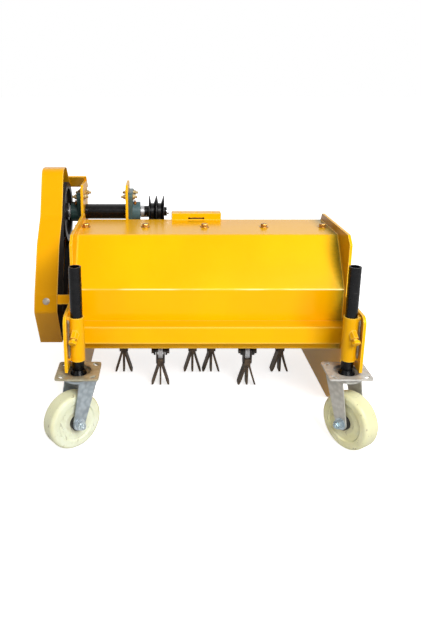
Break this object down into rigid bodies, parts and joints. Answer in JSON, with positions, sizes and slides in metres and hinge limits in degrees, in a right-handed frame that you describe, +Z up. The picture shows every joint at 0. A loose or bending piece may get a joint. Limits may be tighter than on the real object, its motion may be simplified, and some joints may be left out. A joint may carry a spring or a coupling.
{
  "type": "flail mulcher attachment",
  "caption": "Walk-behind flail mulcher: folded hood on skid plates, belt-driven jackshaft over a rotor of swinging Y blades, swivel castors on height-set tubes in front.",
  "frame": {"origin": "middle of the whole machine's box, on the ground", "axes": "+Z up, +X along the rotor towards the side without the belt guard, -Y to the front with the castors"},
  "size_m": [0.9437, 0.7452, 0.68],
  "materials": {
    "yellow_paint": "gloss",
    "green_paint": "painted satin",
    "black_paint": "satin",
    "belt_rubber": "matt",
    "zinc": "zinc plated",
    "blade_steel": "dark hardened steel",
    "nylon": "satin, scuffed",
    "black_plastic": "matt"
  },
  "bodies": {
    "root": {"side_plate_left": "yellow_paint", "side_plate_right": "yellow_paint", "hood_front": "yellow_paint", "hood_rear": "yellow_paint", "crossbar": "yellow_paint", "hitch_bracket": "yellow_paint", "bearing_plate_left": "yellow_paint", "bearing_plate_right": "yellow_paint", "belt_guard": "yellow_paint", "guard_strap": "yellow_paint", "guard_bracket": "yellow_paint", "castor_sleeve_left": "yellow_paint", "castor_sleeve_right": "yellow_paint", "clamp_bolt_left": "yellow_paint", "clamp_bolt_right": "yellow_paint", "rotor_bearing_left": "yellow_paint", "rotor_bearing_right": "yellow_paint", "bearing_housing_left": "green_paint", "bearing_housing_right": "green_paint", "drive_belts": "belt_rubber"},
    "rotor": {"rotor": "black_paint", "rotor_lugs": "black_paint", "flail_pins": "zinc", "flail_shackles": "zinc", "flail_blades": "blade_steel", "lower_belt_pulley": "black_paint"},
    "jackshaft": {"jackshaft": "black_paint", "shaft_collars": "zinc", "drive_pulley": "black_paint", "upper_belt_pulley": "black_paint"},
    "leg_left": {"castor_tube_left": "black_paint", "castor_plate_left": "zinc"},
    "swivel_left": {"castor_fork_left": "zinc", "castor_axle_left": "zinc"},
    "wheel_left": {"castor_wheel_left": "nylon", "wheel_caps_left": "black_plastic"},
    "leg_right": {"castor_tube_right": "black_paint", "castor_plate_right": "zinc"},
    "swivel_right": {"castor_fork_right": "zinc", "castor_axle_right": "zinc"},
    "wheel_right": {"castor_wheel_right": "nylon", "wheel_caps_right": "black_plastic"}
  },
  "joints": [
    {"name": "rotor_spin", "type": "hinge", "parent": "root", "child": "rotor", "pos_m": [0.04415, 0.07946, 0.202], "axis": [1, 0, 0], "continuous": true},
    {"name": "jackshaft_spin", "type": "hinge", "parent": "root", "child": "jackshaft", "pos_m": [0.04415, 0.25263, 0.5295], "axis": [1, 0, 0], "continuous": true},
    {"name": "castor_height_left", "type": "slide", "parent": "root", "child": "leg_left", "axis": [0, 0, -1], "range_m": [0, 0.1]},
    {"name": "castor_swivel_left", "type": "hinge", "parent": "leg_left", "child": "swivel_left", "pos_m": [-0.31185, -0.27736, 0.211], "axis": [0, 0, 1], "continuous": true},
    {"name": "castor_roll_left", "type": "hinge", "parent": "swivel_left", "child": "wheel_left", "pos_m": [-0.33128, -0.2931, 0.077], "axis": [0.6293, -0.7771, 0], "continuous": true},
    {"name": "castor_height_right", "type": "slide", "parent": "root", "child": "leg_right", "axis": [0, 0, -1], "range_m": [0, 0.1]},
    {"name": "castor_swivel_right", "type": "hinge", "parent": "leg_right", "child": "swivel_right", "pos_m": [0.40015, -0.27736, 0.211], "axis": [0, 0, 1], "continuous": true},
    {"name": "castor_roll_right", "type": "hinge", "parent": "swivel_right", "child": "wheel_right", "pos_m": [0.41358, -0.29845, 0.077], "axis": [-0.8434, -0.5373, 0], "continuous": true}
  ],
  "couplings": [
    {"joint": "jackshaft_spin", "follows": "rotor_spin", "ratio": 0.35135}
  ]
}
